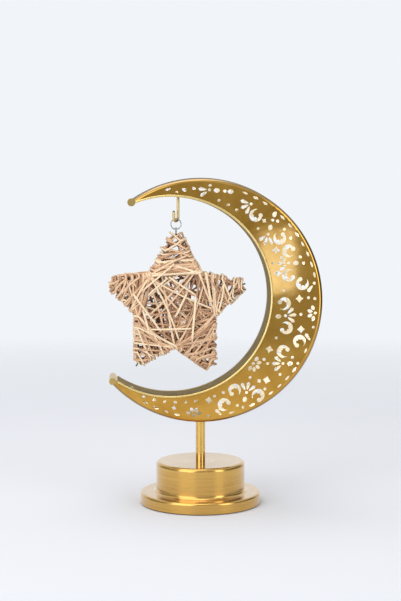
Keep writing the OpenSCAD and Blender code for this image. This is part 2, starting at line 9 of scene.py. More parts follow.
import bpy
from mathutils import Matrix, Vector


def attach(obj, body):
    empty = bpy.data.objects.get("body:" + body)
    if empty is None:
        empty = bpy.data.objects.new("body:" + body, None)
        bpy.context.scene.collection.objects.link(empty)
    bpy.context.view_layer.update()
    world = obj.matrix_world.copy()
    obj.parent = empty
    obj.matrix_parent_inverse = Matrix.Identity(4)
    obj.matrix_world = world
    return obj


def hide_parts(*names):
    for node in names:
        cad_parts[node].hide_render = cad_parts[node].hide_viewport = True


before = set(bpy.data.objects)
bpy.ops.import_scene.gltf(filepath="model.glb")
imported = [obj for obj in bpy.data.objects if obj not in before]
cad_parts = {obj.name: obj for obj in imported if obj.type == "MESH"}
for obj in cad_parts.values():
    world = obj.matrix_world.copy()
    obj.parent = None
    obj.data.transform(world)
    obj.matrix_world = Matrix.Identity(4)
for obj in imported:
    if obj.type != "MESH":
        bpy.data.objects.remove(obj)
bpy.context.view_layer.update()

LOG = logging.getLogger("ornament")
Colour = tuple[float, float, float]
Point = tuple[float, float, float]
Node = bpy.types.Node
Socket = bpy.types.NodeSocket
Tree = bpy.types.NodeTree

# Lengths are in metres and angles in degrees, unless a docstring says otherwise.
MOON_MIDDLE_Z = 0.1901
MOON_WALL_REACH = 0.1105
EDGE_WIDTH = 0.004
LACQUER_ROUGHNESS = 0.06
WHITE = (1.0, 1.0, 1.0, 1.0)
ARMS = 5
ARM_TURN = 72
CORNER_TURNS = (10, 45, 80)


def add_sockets(tree: Tree, in_out: str, kind: str, names: Sequence[str]) -> None:
    """Adds sockets of one kind, such as Float, to a group's INPUT or OUTPUT side."""
    for name in names:
        tree.interface.new_socket(name, in_out=in_out, socket_type="NodeSocket" + kind)


def put_in_scene(name: str, data: bpy.types.ID) -> bpy.types.Object:
    """Makes an object from a mesh, light or camera, links it to the scene and returns it."""
    made = bpy.data.objects.new(name, data)
    bpy.context.scene.collection.objects.link(made)
    return made


class Board:
    """Adds nodes to one node tree and links them."""

    def __init__(self, tree: Tree) -> None:
        """Keeps the tree that the nodes go into."""
        self.tree = tree

    @classmethod
    def emptied(cls, owner: bpy.types.Material | bpy.types.World) -> "Board":
        """Empties the tree of a material or world and returns a board for it."""
        owner.use_nodes = True
        owner.node_tree.nodes.clear()
        return cls(owner.node_tree)

    def fill(self, node: Node, inputs: dict) -> None:
        """Sets a node's inputs, by socket name or number, to values or to the outputs that feed them."""
        for name, value in inputs.items():
            if isinstance(value, Socket):
                self.tree.links.new(value, node.inputs[name])
            else:
                node.inputs[name].default_value = value

    def add(self, kind: str, inputs: dict | None = None, **settings: object) -> Node:
        """Adds one node.

        Args:
            kind: The node's type name.
            inputs: Its inputs, as fill() takes them.
            **settings: Properties of the node itself.

        Returns:
            The new node.
        """
        node = self.tree.nodes.new(kind)
        for name, value in settings.items():
            setattr(node, name, value)
        self.fill(node, inputs or {})
        return node

    def maths(self, operation: str, a: object, b: object = 0.0, clamp: bool = False) -> Socket:
        """Does one sum. Clamped, it stays between 0 and 1."""
        return self.add("ShaderNodeMath", {0: a, 1: b}, operation=operation, use_clamp=clamp).outputs[0]

    def line(self, value: object, slope: object, base: object, clamp: bool = False) -> Socket:
        """Multiplies a value by a slope and adds a base."""
        return self.maths("ADD", self.maths("MULTIPLY", value, slope), base, clamp)

    def climb(self, value: object, start: float, slope: float) -> Socket:
        """Climbs from 0 at a start value, and stays between 0 and 1."""
        return self.maths("MULTIPLY", self.maths("SUBTRACT", value, start), slope, clamp=True)

    def coordinates(self) -> Socket:
        """Reads the piece's Object coordinates."""
        return self.add("ShaderNodeTexCoord").outputs["Object"]

    def parts(self, vector: Socket) -> tuple[Socket, ...]:
        """Splits a vector into x, y and z."""
        return tuple(self.add("ShaderNodeSeparateXYZ", {0: vector}).outputs)

    def vector(self, x: object, y: object, z: object = 0.0) -> Socket:
        """Joins three values or outputs into a vector."""
        return self.add("ShaderNodeCombineXYZ", {0: x, 1: y, 2: z}).outputs[0]

    def measure(self, operation: str, a: Socket, b: object = (0.0, 0.0, 0.0)) -> Socket:
        """Measures vectors: LENGTH of one, DISTANCE or DOT_PRODUCT of two."""
        return self.add("ShaderNodeVectorMath", {0: a, 1: b}, operation=operation).outputs["Value"]

    def noise(self, place: Socket, scale: object, detail: float, roughness: float = 0.5,
              distortion: float = 0.0) -> Socket:
        """Adds a noise that is read at a place."""
        return self.add("ShaderNodeTexNoise", {"Vector": place, "Scale": scale, "Detail": detail,
                                               "Roughness": roughness, "Distortion": distortion}).outputs[0]

    def blend(self, mask: object, a: object, b: object, mode: str = "MIX") -> Socket:
        """Mixes two colours or outputs. The mask is the second one's share."""
        node = self.add("ShaderNodeMix", data_type="RGBA", blend_type=mode)
        first, second = ((*side, 1.0) if isinstance(side, tuple) else side for side in (a, b))
        self.fill(node, {0: mask, 6: first, 7: second})
        return node.outputs[2]

    def bump(self, height: Socket, strength: float, depth: float, under: Socket | None = None) -> Socket:
        """Bends the normal by a height, on top of the normal under it if one is given."""
        inputs: dict = {"Height": height, "Strength": strength, "Distance": depth}
        if under:
            inputs["Normal"] = under
        return self.add("ShaderNodeBump", inputs).outputs[0]


class Effect(Enum):
    """The shared surface effects, each one shader node group."""

    SPUN = "Spun lines"
    MOTTLE = "Lacquer mottle"
    GRAIN = "Fine grain"
    INSIDE = "Inner faces"


class Effects:
    """Builds each shared shader node group once."""

    def __init__(self) -> None:
        """Starts with no group built."""
        self._built: dict[Effect, Tree] = {}

    def place(self, board: Board, effect: Effect, **values: float) -> Sequence[Socket]:
        """Puts a group into a material, on the piece's Object coordinates.

        Args:
            board: The material's board.
            effect: Which effect.
            **values: The group's own values, by input name.

        Returns:
            The group's outputs.
        """
        if effect not in self._built:
            makers = {Effect.SPUN: self._spun, Effect.MOTTLE: self._mottle, Effect.GRAIN: self._grain,
                      Effect.INSIDE: self._inside}
            self._built[effect] = makers[effect]()
        given = board.add("ShaderNodeTexCoord").outputs
        inputs = {"Place": given["Object"], **values}
        if effect is Effect.INSIDE:
            inputs["Facing"] = given["Normal"]
        return board.add("ShaderNodeGroup", inputs, node_tree=self._built[effect]).outputs

    @staticmethod
    def _start(effect: Effect, values: Sequence[str],
               outputs: Sequence[str]) -> tuple[Board, Sequence[Socket], Node]:
        """Makes an empty group with its sockets.

        Args:
            effect: Which effect.
            values: Names of the value inputs.
            outputs: Names of the value outputs.

        Returns:
            The board, the group's inputs and the node that its outputs are fed to.
        """
        tree = bpy.data.node_groups.new(effect.value, "ShaderNodeTree")
        add_sockets(tree, "INPUT", "Vector", ("Place", "Facing") if effect is Effect.INSIDE else ("Place",))
        add_sockets(tree, "INPUT", "Float", values)
        add_sockets(tree, "OUTPUT", "Float", outputs)
        board = Board(tree)
        return board, board.add("NodeGroupInput").outputs, board.add("NodeGroupOutput")

    def _spun(self) -> Tree:
        """Builds lathe lines: noise over radius and height, so that they run round the Z axis.

        Returns:
            The group, which puts out the lines' height and a mask of the high ones.
        """
        board, given, end = self._start(Effect.SPUN, ("Lines", "Drift"), ("Height", "Mask"))
        x, y, z = board.parts(given["Place"])
        squares = board.maths("ADD", board.maths("POWER", x, 2.0), board.maths("POWER", y, 2.0))
        across = board.maths("MULTIPLY", board.maths("SQRT", squares), given["Lines"])
        turn = board.maths("MULTIPLY", board.maths("ARCTAN2", y, x), given["Drift"])
        place = board.vector(across, turn, board.maths("MULTIPLY", z, given["Lines"]))
        lines = board.noise(place, scale=1.0, detail=3.0, roughness=0.7)
        board.fill(end, {"Height": lines, "Mask": board.climb(lines, start=0.38, slope=3.6)})
        return board.tree

    def _mottle(self) -> Tree:
        """Builds soft uneven patches of lacquer.

        Returns:
            The group, which puts out a mask of the patches.
        """
        board, given, end = self._start(Effect.MOTTLE, ("Scale", "Contrast"), ("Mask",))
        cloud = board.noise(given["Place"], given["Scale"], detail=4.0, roughness=0.62, distortion=0.4)
        middle = 0.5
        level = board.maths("SUBTRACT", cloud, middle)
        board.fill(end, {"Mask": board.line(level, given["Contrast"], middle, clamp=True)})
        return board.tree

    def _grain(self) -> Tree:
        """Builds the fine grain of castings, foam, plating and split cane.

        Returns:
            The group, which puts out the grain's height.
        """
        board, given, end = self._start(Effect.GRAIN, ("Scale", "Cells"), ("Height",))
        fine = board.noise(given["Place"], given["Scale"], detail=5.0, roughness=0.65)
        where = {"Vector": given["Place"], "Scale": given["Scale"]}
        cells = board.add("ShaderNodeTexVoronoi", where).outputs[0]
        board.fill(end, {"Height": board.line(cells, given["Cells"], fine)})
        return board.tree

    def _inside(self) -> Tree:
        """Builds masks for the crescent's sheets: their inner faces, where painted light goes, and the
        rolled outer edge, where edge wear and painted shade go.

        Returns:
            The group, which puts out both masks.
        """
        board, given, end = self._start(Effect.INSIDE, ("Middle", "Wall"), ("Mask", "Edge"))
        x, y, z = board.parts(given["Place"])
        leaving = board.maths("MULTIPLY", board.parts(given["Facing"])[1], board.maths("SIGN", y))
        facing_in = -0.5
        flat = board.maths("LESS_THAN", leaving, facing_in)
        arm = board.vector(x, 0.0, board.maths("SUBTRACT", z, given["Middle"]))
        reach = board.measure("LENGTH", arm)
        outward = board.measure("DOT_PRODUCT", arm, given["Facing"])
        wall = board.maths("MULTIPLY", board.maths("GREATER_THAN", reach, given["Wall"]),
                           board.maths("LESS_THAN", outward, 0.0))
        # Edge wear and painted shade: darker where the rolled edge turns outward.
        wear_and_edge_shade = board.climb(board.maths("DIVIDE", outward, reach), start=0.3, slope=2.5)
        edge_start = board.maths("SUBTRACT", given["Wall"], EDGE_WIDTH)
        edge = board.maths("GREATER_THAN", reach, edge_start)
        # Mask: the inner faces, which get painted light. Edge: edge wear and painted shade.
        board.fill(end, {"Mask": board.maths("MAXIMUM", flat, wall),
                         "Edge": board.maths("MULTIPLY", wear_and_edge_shade, edge)})
        return board.tree


EFFECTS = Effects()
BUILT: dict[str, bpy.types.Material] = {}


@dataclass(frozen=True)
class Finish:
    """What every finish has: a name, a main tone, a deeper tone and a roughness."""

    name: str
    tone: Colour
    deep: Colour
    roughness: float

    def material(self) -> bpy.types.Material:
        """Builds the finish's material at its first use and returns it."""
        if self.name not in BUILT:
            made = BUILT[self.name] = bpy.data.materials.new(self.name)
            made.diffuse_color = (*self.tone, 1.0)
            board = Board.emptied(made)
            body = board.add("ShaderNodeBsdfPrincipled", {"Roughness": self.roughness})
            board.add("ShaderNodeOutputMaterial", {"Surface": body.outputs[0]})
            self.dress(board, body)
        return BUILT[self.name]

    def dress(self, board: Board, body: Node) -> None:
        """Feeds the shader's sockets, as each finish does in its own way.

        Args:
            board: The material's board.
            body: Its shader, a Principled BSDF.
        """
        raise NotImplementedError


@dataclass(frozen=True)
class SpunGold(Finish):
    """Lacquered gold sheet or tube with fine lathe lines round its axis."""

    lines: float = 900.0
    line_depth: float = 0.00012
    coat: float = 1.0
    brushed: float = 0.7

    def dress(self, board: Board, body: Node) -> None:
        """Lays lathe lines and lacquer mottle on gold."""
        spun = EFFECTS.place(board, Effect.SPUN, Lines=self.lines, Drift=0.35)
        mottle = EFFECTS.place(board, Effect.MOTTLE, Scale=16.0, Contrast=1.6)["Mask"]
        # Here this is wear only: the high lathe lines under the lacquer mottle.
        wear_and_edge_shade = board.maths("MULTIPLY", spun["Mask"], mottle)
        board.fill(body, {
            "Base Color": board.blend(wear_and_edge_shade, self.tone, self.deep),
            "Metallic": 1.0,
            "Roughness": board.line(spun["Mask"], slope=0.12, base=self.roughness),
            "Normal": board.bump(spun["Height"], strength=0.35, depth=self.line_depth),
            "Tangent": board.add("ShaderNodeTangent", direction_type="RADIAL", axis="Z").outputs[0],
            "Anisotropic": self.brushed,
            "Anisotropic Rotation": 0.25,
            "Coat Weight": self.coat,
            "Coat Roughness": LACQUER_ROUGHNESS})


@dataclass(frozen=True)
class SheetGold(Finish):
    """Lacquered gold sheet, cut through, with a slightly uneven face."""

    mottle_scale: float = 22.0
    ripple: float = 0.0003
    coat: float = 0.3
    # Painted light: the inner faces' near-white tone stands in for the light seen through the openings.
    inner: Colour = (0.93, 0.88, 0.76)
    # Edge wear and painted shade: darker along the rolled outer edge.
    wear_and_edge_shade: Colour = (0.34, 0.22, 0.09)

    def dress(self, board: Board, body: Node) -> None:
        """Lays mottle, a low ripple and fine grain on gold, edge wear and painted shade on the rolled outer
        edge, and painted light on the inner faces, a near-white matt tone for the light seen through the
        openings.
        """
        mottle = EFFECTS.place(board, Effect.MOTTLE, Scale=self.mottle_scale, Contrast=3.0)["Mask"]
        wave = EFFECTS.place(board, Effect.MOTTLE, Scale=9.0, Contrast=1.0)["Mask"]
        grain = EFFECTS.place(board, Effect.GRAIN, Scale=1400.0, Cells=0.1)["Height"]
        faces = EFFECTS.place(board, Effect.INSIDE, Middle=MOON_MIDDLE_Z, Wall=MOON_WALL_REACH)
        sheet = board.blend(mottle, self.tone, self.deep)
        # Edge wear and painted shade along the rolled outer edge.
        gold = board.blend(faces["Edge"], sheet, self.wear_and_edge_shade)
        rough = board.line(mottle, slope=0.03, base=self.roughness)
        low = board.bump(wave, strength=0.5, depth=self.ripple)
        board.fill(body, {
            # Painted light: the inner faces get a near-white, matt tone.
            "Base Color": board.blend(faces["Mask"], gold, self.inner),
            "Metallic": board.maths("SUBTRACT", 1.0, faces["Mask"]),
            "Roughness": board.line(faces["Mask"], slope=0.4, base=rough),
            "Normal": board.bump(grain, strength=0.06, depth=0.00003, under=low),
            "Coat Weight": self.coat,
            "Coat Roughness": LACQUER_ROUGHNESS})


@dataclass(frozen=True)
class BandLacquerAndShade(Finish):
    """Dull dark lacquer of the bay's band, whose dark tone is also painted shade of the bay, with round ends
    at the horns painted lighter as the lit copy.
    """

    # Painted light: the round ends are a lighter, lit copy of the band.
    bright: Colour = (0.62, 0.43, 0.15)
    ends: tuple[Point, Point] = ((-0.0637, 0.0, 0.2804), (-0.0817, 0.0, 0.1171))
    end_reach: float = 0.0044

    def dress(self, board: Board, body: Node) -> None:
        """Lays the dark tone, lacquer and painted shade, along the bay and lighter gold, painted light, on
        the round ends.
        """
        x, _, z = board.parts(board.coordinates())
        flat = board.vector(x, 0.0, z)
        nearest = board.maths("MINIMUM", *(board.measure("DISTANCE", flat, end) for end in self.ends))
        end = board.maths("LESS_THAN", nearest, self.end_reach)
        patch = EFFECTS.place(board, Effect.MOTTLE, Scale=60.0, Contrast=1.6)["Mask"]
        grain = EFFECTS.place(board, Effect.GRAIN, Scale=1200.0, Cells=0.2)["Height"]
        dark = board.blend(patch, self.tone, self.deep)
        board.fill(body, {
            "Base Color": board.blend(end, dark, self.bright),
            "Metallic": board.line(end, slope=0.6, base=0.4),
            "Roughness": board.line(end, slope=-0.3, base=self.roughness),
            "Normal": board.bump(grain, strength=0.3, depth=0.00005),
            "Specular IOR Level": 0.15})


@dataclass(frozen=True)
class Wire(Finish):
    """Drawn wire or plain hardware, plated or bare."""

    metallic: float = 1.0
    grain: float = 1800.0

    def dress(self, board: Board, body: Node) -> None:
        """Lays faint stains and a low relief on metal."""
        stain = EFFECTS.place(board, Effect.MOTTLE, Scale=90.0, Contrast=2.0)["Mask"]
        board.fill(body, {
            "Base Color": board.blend(stain, self.tone, self.deep),
            "Metallic": self.metallic,
            "Roughness": board.line(stain, slope=0.1, base=self.roughness),
            "Normal": self.relief(board)})

    def relief(self, board: Board) -> Socket:
        """Raises a fine grain."""
        grain = EFFECTS.place(board, Effect.GRAIN, Scale=self.grain, Cells=0.2)["Height"]
        return board.bump(grain, strength=0.3, depth=0.00003)


@dataclass(frozen=True)
class Threaded(Wire):
    """Zinc or black steel rod with the ridges of its thread."""

    pitch: float = 0.0008

    def relief(self, board: Board) -> Socket:
        """Raises ridges along Z in place of the grain."""
        turns = board.maths("MULTIPLY", board.parts(board.coordinates())[2], 2 * math.pi / self.pitch)
        return board.bump(board.maths("SINE", turns), strength=0.8, depth=self.pitch / 6)


@dataclass(frozen=True)
class Grainy(Finish):
    """Rough casting or closed-cell foam."""

    scale: float = 500.0
    relief: float = 0.0003
    cells: float = 0.6

    def dress(self, board: Board, body: Node) -> None:
        """Lays a cellular grain and dull patches on the surface."""
        grain = EFFECTS.place(board, Effect.GRAIN, Scale=self.scale, Cells=self.cells)["Height"]
        patch = EFFECTS.place(board, Effect.MOTTLE, Scale=35.0, Contrast=1.8)["Mask"]
        board.fill(body, {
            "Base Color": board.blend(patch, self.tone, self.deep),
            "Normal": board.bump(grain, strength=0.7, depth=self.relief)})


@dataclass(frozen=True)
class Rattan(Finish):
    """Split cane: each strand has its own tone, which varies at random and holds painted shade, browner in
    the inner layers, with fibres and darker knots along it.
    """

    pale: Colour = (0.96, 0.78, 0.54)
    knots_a_metre: float = 90.0
    tone_gap: float = 37.0

    def dress(self, board: Board, body: Node) -> None:
        """Mixes three tones by the strand's own attribute and streaks them."""
        own = board.add("ShaderNodeAttribute", attribute_name="strand_tone_and_shade").outputs["Fac"]
        along = board.add("ShaderNodeAttribute", attribute_name="strand_length").outputs["Fac"]
        knot_place = board.vector(board.maths("MULTIPLY", along, self.knots_a_metre),
                                  board.maths("MULTIPLY", own, self.tone_gap))
        knots = board.noise(knot_place, scale=1.0, detail=2.0)
        stained = board.climb(knots, start=0.6, slope=3.0)
        fibre = EFFECTS.place(board, Effect.GRAIN, Scale=900.0, Cells=0.3)["Height"]
        # The strand's own tone, and with it the painted shade of the inner layers, picks pale, tone or deep.
        light = board.blend(board.maths("MULTIPLY", own, 1.9, clamp=True), self.pale, self.tone)
        dark = board.blend(board.line(own, slope=2.0, base=-0.9, clamp=True), light, self.deep)
        cloud = board.noise(board.coordinates(), scale=260.0, detail=2.0)
        board.fill(body, {
            "Base Color": board.blend(stained, dark, self.deep),
            "Roughness": board.line(cloud, slope=0.25, base=self.roughness),
            "Normal": board.bump(fibre, strength=0.5, depth=0.00015),
            "Coat Weight": 0.15,
            "Coat Roughness": 0.3})


BASE_GOLD = SpunGold("spun_gold", (0.72, 0.42, 0.085), (0.50, 0.265, 0.04), 0.16)
STEM_GOLD = SpunGold("stem_gold", (0.78, 0.50, 0.14), (0.73, 0.46, 0.12), 0.14, lines=300.0,
                     line_depth=0.000005, coat=0.15, brushed=0.8)
MOON_GOLD = SheetGold("pierced_sheet", (0.76, 0.43, 0.075), (0.52, 0.265, 0.03), 0.045)
# Its dark tone is partly the band's own lacquer and partly painted shade of the bay.
BAND_LACQUER_AND_SHADE = BandLacquerAndShade("band_lacquer_and_shade", (0.28, 0.195, 0.045), (0.13, 0.09, 0.022), 0.6)
SEAM_GOLD = Wire("seam_gold", (0.40, 0.31, 0.16), (0.26, 0.20, 0.10), 0.34)
# One rim wire in two tones: the front one painted lighter as a highlight, the back one painted darker as
# shade.
FRONT_RIM_HIGHLIGHT = Wire("front_rim_painted_highlight", (0.98, 0.80, 0.36), (0.90, 0.66, 0.22), 0.22)
BACK_RIM_SHADE = Wire("back_rim_painted_shade", (0.52, 0.42, 0.27), (0.38, 0.30, 0.18), 0.3)
HOOK_GOLD = Wire("hook_wire", (0.82, 0.63, 0.26), (0.62, 0.45, 0.16), 0.2)
SILVER = Wire("silver_plating", (0.58, 0.57, 0.56), (0.40, 0.39, 0.38), 0.18)
ZINC = Wire("zinc_steel", (0.62, 0.63, 0.65), (0.48, 0.48, 0.50), 0.32)
ROD_BLACK = Threaded("threaded_rod", (0.20, 0.18, 0.16), (0.12, 0.11, 0.10), 0.38)
SCREW_ZINC = Threaded("screw_zinc", (0.60, 0.61, 0.63), (0.46, 0.46, 0.48), 0.3)
STAR_WIRE = Wire("black_wire", (0.16, 0.14, 0.13), (0.09, 0.08, 0.07), 0.45, metallic=0.8)
CASTING = Grainy("iron_casting", (0.10, 0.10, 0.11), (0.06, 0.06, 0.065), 0.75)
FOAM = Grainy("pad_foam", (0.06, 0.06, 0.065), (0.035, 0.035, 0.04), 0.9, scale=1500.0, relief=0.0004)
CANE = Rattan("split_cane", (0.74, 0.45, 0.26), (0.34, 0.175, 0.09), 0.38)


def dress_node(name: str, finish: Finish) -> None:
    """Gives a CAD node its finish."""
    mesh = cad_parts[name].data
    mesh.materials.clear()
    mesh.materials.append(finish.material())
    LOG.info("node %s: %s", name, finish.name)


@dataclass
class Assembly:
    """A sub-assembly of CAD nodes: each field has a node's name and holds its finish."""

    def build(self) -> None:
        """Dresses the sub-assembly's nodes."""
        for node in fields(self):
            dress_node(node.name, getattr(self, node.name))


@dataclass
class SpunBase(Assembly):
    """The stepped base, its ballast, closing plate, screws and pad."""

    base_shell: Finish = BASE_GOLD
    ballast_disc: Finish = CASTING
    base_plate: Finish = ZINC
    base_screws: Finish = SCREW_ZINC
    foot_pad: Finish = FOAM


@dataclass
class Stem(Assembly):
    """The stem tube, and the rod with its hardware that clamps base, stem and crescent together."""

    stem_tube: Finish = STEM_GOLD
    tie_rod: Finish = ROD_BLACK
    lower_washer: Finish = ZINC
    lower_nut: Finish = ZINC
    moon_saddle: Finish = ZINC
    upper_washer: Finish = ZINC
    upper_nut: Finish = ZINC


@dataclass
class Crescent(Assembly):
    """The pierced sheets, the slotted band, the rims and the seam."""

    moon_front_shell: Finish = MOON_GOLD
    moon_back_shell: Finish = MOON_GOLD
    moon_inner_band: Finish = BAND_LACQUER_AND_SHADE
    front_rim_wire: Finish = FRONT_RIM_HIGHLIGHT
    back_rim_wire: Finish = BACK_RIM_SHADE
    outer_seam_strip: Finish = SEAM_GOLD


@dataclass
class Hanger(Assembly):
    """The hook through the band, its nut, the jump ring and the star's eye."""

    hook: Finish = HOOK_GOLD
    hook_nut: Finish = HOOK_GOLD
    jump_ring: Finish = SILVER
    star_eye: Finish = SILVER


@dataclass(frozen=True)
class Strand:
    """One run of cane or wire: its points and its tone, from 0 pale to 1 brown, which for cane holds painted
    shade of the inner layers.
    """

    points: tuple[Vector, ...]
    tone: float


@dataclass(frozen=True)
class Sweep:
    """Sweeps runs of points into cane or wire with a Geometry Nodes tree."""

    finish: Finish
    width: float
    thickness: float
    sides: int

    @staticmethod
    def tree() -> Tree:
        """Builds the tree at its first use and returns it."""
        name = "cane_strands"
        if name in bpy.data.node_groups:
            return bpy.data.node_groups[name]
        tree = bpy.data.node_groups.new(name, "GeometryNodeTree")
        add_sockets(tree, "INPUT", "Geometry", ("Geometry",))
        add_sockets(tree, "INPUT", "Float", ("Strand width", "Strand thickness"))
        add_sockets(tree, "INPUT", "Int", ("Sides",))
        add_sockets(tree, "INPUT", "Material", ("Finish",))
        add_sockets(tree, "OUTPUT", "Geometry", ("Geometry",))
        board = Board(tree)
        given = board.add("NodeGroupInput").outputs
        runs = board.add("GeometryNodeMeshToCurve", {"Mesh": given["Geometry"]}).outputs[0]
        ring = board.add("GeometryNodeCurvePrimitiveCircle", {"Resolution": given["Sides"], "Radius": 0.5},
                         mode="RADIUS").outputs[0]
        size = board.vector(given["Strand width"], given["Strand thickness"], 1.0)
        section = board.add("GeometryNodeTransform", {"Geometry": ring, "Scale": size}).outputs[0]
        tube = board.add("GeometryNodeCurveToMesh", {"Curve": runs, "Profile Curve": section,
                                                     "Fill Caps": True}).outputs[0]
        smooth = board.add("GeometryNodeSetShadeSmooth", {"Geometry": tube}).outputs[0]
        real = board.add("GeometryNodeRealizeInstances", {"Geometry": smooth}).outputs[0]
        done = board.add("GeometryNodeSetMaterial", {"Geometry": real, "Material": given["Finish"]})
        board.add("NodeGroupOutput", {"Geometry": done.outputs[0]})
        return tree

    def piece(self, name: str, strands: Sequence[Strand]) -> bpy.types.Object:
        """Sweeps the strands into one plain mesh.

        Args:
            name: The piece's name.
            strands: The runs to sweep.

        Returns:
            The finished piece, with its modifier removed.
        """
        points: list[Vector] = []
        edges: list[tuple[int, int]] = []
        tones: list[float] = []
        lengths: list[float] = []
        for strand in strands:
            first, run = len(points), 0.0
            for k, point in enumerate(strand.points):
                if k:
                    run += (point - points[-1]).length
                    edges.append((first + k - 1, first + k))
                points.append(point)
                tones.append(strand.tone)
                lengths.append(run)
        mesh = bpy.data.meshes.new(name)
        mesh.from_pydata(points, edges, [])
        for attribute, values in (("strand_tone_and_shade", tones), ("strand_length", lengths)):
            mesh.attributes.new(attribute, "FLOAT", "POINT").data.foreach_set("value", values)
        source = put_in_scene(name + "_runs", mesh)
        tree = self.tree()
        modifier = source.modifiers.new("cane", "NODES")
        modifier.node_group = tree
        values = {"Strand width": self.width, "Strand thickness": self.thickness, "Sides": self.sides,
                  "Finish": self.finish.material()}
        for item in tree.interface.items_tree:
            if item.in_out == "INPUT" and item.name in values:
                modifier[item.identifier] = values[item.name]
        graph = bpy.context.evaluated_depsgraph_get()
        made = bpy.data.meshes.new_from_object(source.evaluated_get(graph), depsgraph=graph)
        made.name = name
        bpy.data.objects.remove(source)
        LOG.info("piece %s: %d strands, %d faces", name, len(strands), len(made.polygons))
        return put_in_scene(name, made)


@dataclass(frozen=True)
class Spot:
    """A point of the star's outline in the star's plane, the way out from there and the half depth."""

    point: Vector
    out: Vector
    depth: float


@dataclass(frozen=True)
class ArmWinding:
    """How an arm is wound. Places and tilts along it are shares, from 0 at the tip to 1 at the notches."""

    layers: tuple[float, ...] = (0.0015, 0.0020, 0.0024, 0.0028)
    turns: int = 6
    start_spread: float = 0.08
    end: float = 0.98
    crowding: float = 0.9
    least_share: float = 0.03
    tilt: float = 0.26
    tip_tilt: float = 0.4
    jitter: float = 0.02
    lift: float = 0.0014
    sway: float = 0.0012


@dataclass(frozen=True)
class EndLoop:
    """How strands lie lengthwise over an arm's end. The path holds shares of the way in and of the rise."""

    count: int = 3
    rise: float = 0.0022
    across: tuple[float, float] = (0.0018, 0.0032)
    path: tuple[Sequence[float], ...] = ((0.62, 1.0), (0.42, 1.0), (0.2, 1.0), (0.05, 0.75), (-0.005, 0.0))
    way_in: float = 0.5
    inset: float = 0.4
    hug: float = 0.9


@dataclass(frozen=True)
class TipArc:
    """How strands lie round an arm's end in the star's plane."""

    count: int = 5
    radius: float = 0.0062
    sizes: tuple[float, float] = (0.8, 1.1)
    back: float = 0.002
    rise: float = 0.0026
    half_turn: int = 110
    step: int = 20
    ends: tuple[float, float] = (0.3, 0.42)
    front_ends: float = 0.6


@dataclass(frozen=True)
class BodyWinding:
    """How the body is wound, front and back by turns."""

    strands: int = 15
    crossings: int = 9
    lowest: float = 0.0015
    spread: float = 0.0015
    first_shares: tuple[float, float] = (0.7, 0.99)
    shares: tuple[float, float] = (0.5, 0.99)
    least_run: float = 0.03
    tested: tuple[float, ...] = (0.1, 0.3, 0.5, 0.7, 0.9)
    bow: float = 0.0022
    sway: float = 0.0011


@dataclass(frozen=True)
class TopChords:
    """The pale chords on the star's front, each between two edges.

    A path holds x and height of the start, x and height of the end, and the distance to the front, all
    in millimetres. Heights are from the crescent's middle.
    """

    paths: tuple[tuple[float, ...], ...] = (
        (-29.3, 22.2, -5.3, 6.0, 20.4), (-5.3, 6.0, -8.9, -36.5, 20.0), (-61.9, 6.6, -36.0, -28.7, 19.4),
        (-46.4, -25.3, -7.4, -24.6, 19.8), (-54.8, 9.4, -25.2, 34.2, 18.9), (-51.0, 4.4, -30.4, 22.0, 18.2),
        (3.9, 26.4, 8.9, -2.6, 18.4), (-13.0, 8.8, -24.0, -14.0, 19.2), (-54.1, -5.4, -47.8, -28.7, 18.6),
        (-31.0, 48.0, -14.0, 26.0, 9.0))
    steps: int = 8
    dip: float = 0.0035
    bow: float = 0.0006
    # The chords are the outermost layer and so the palest; the browner inner layers are painted shade.
    tone: float = 0.02

    def strands(self) -> list[Strand]:
        """Lays the chords, with their ends dipped into the winding.

        Returns:
            The strands.
        """
        found = []
        for start_x, start_z, end_x, end_z, front in self.paths:
            points = []
            for k in range(self.steps + 1):
                share = k / self.steps
                dip = self.dip if k in (0, self.steps) else 0.0
                x = (start_x + (end_x - start_x) * share) / 1000
                y = dip - front / 1000 - self.bow * math.sin(math.pi * share)
                z = (start_z + (end_z - start_z) * share) / 1000
                points.append(Vector((x, y, MOON_MIDDLE_Z + z)))
            found.append(Strand(tuple(points), self.tone))
        return found


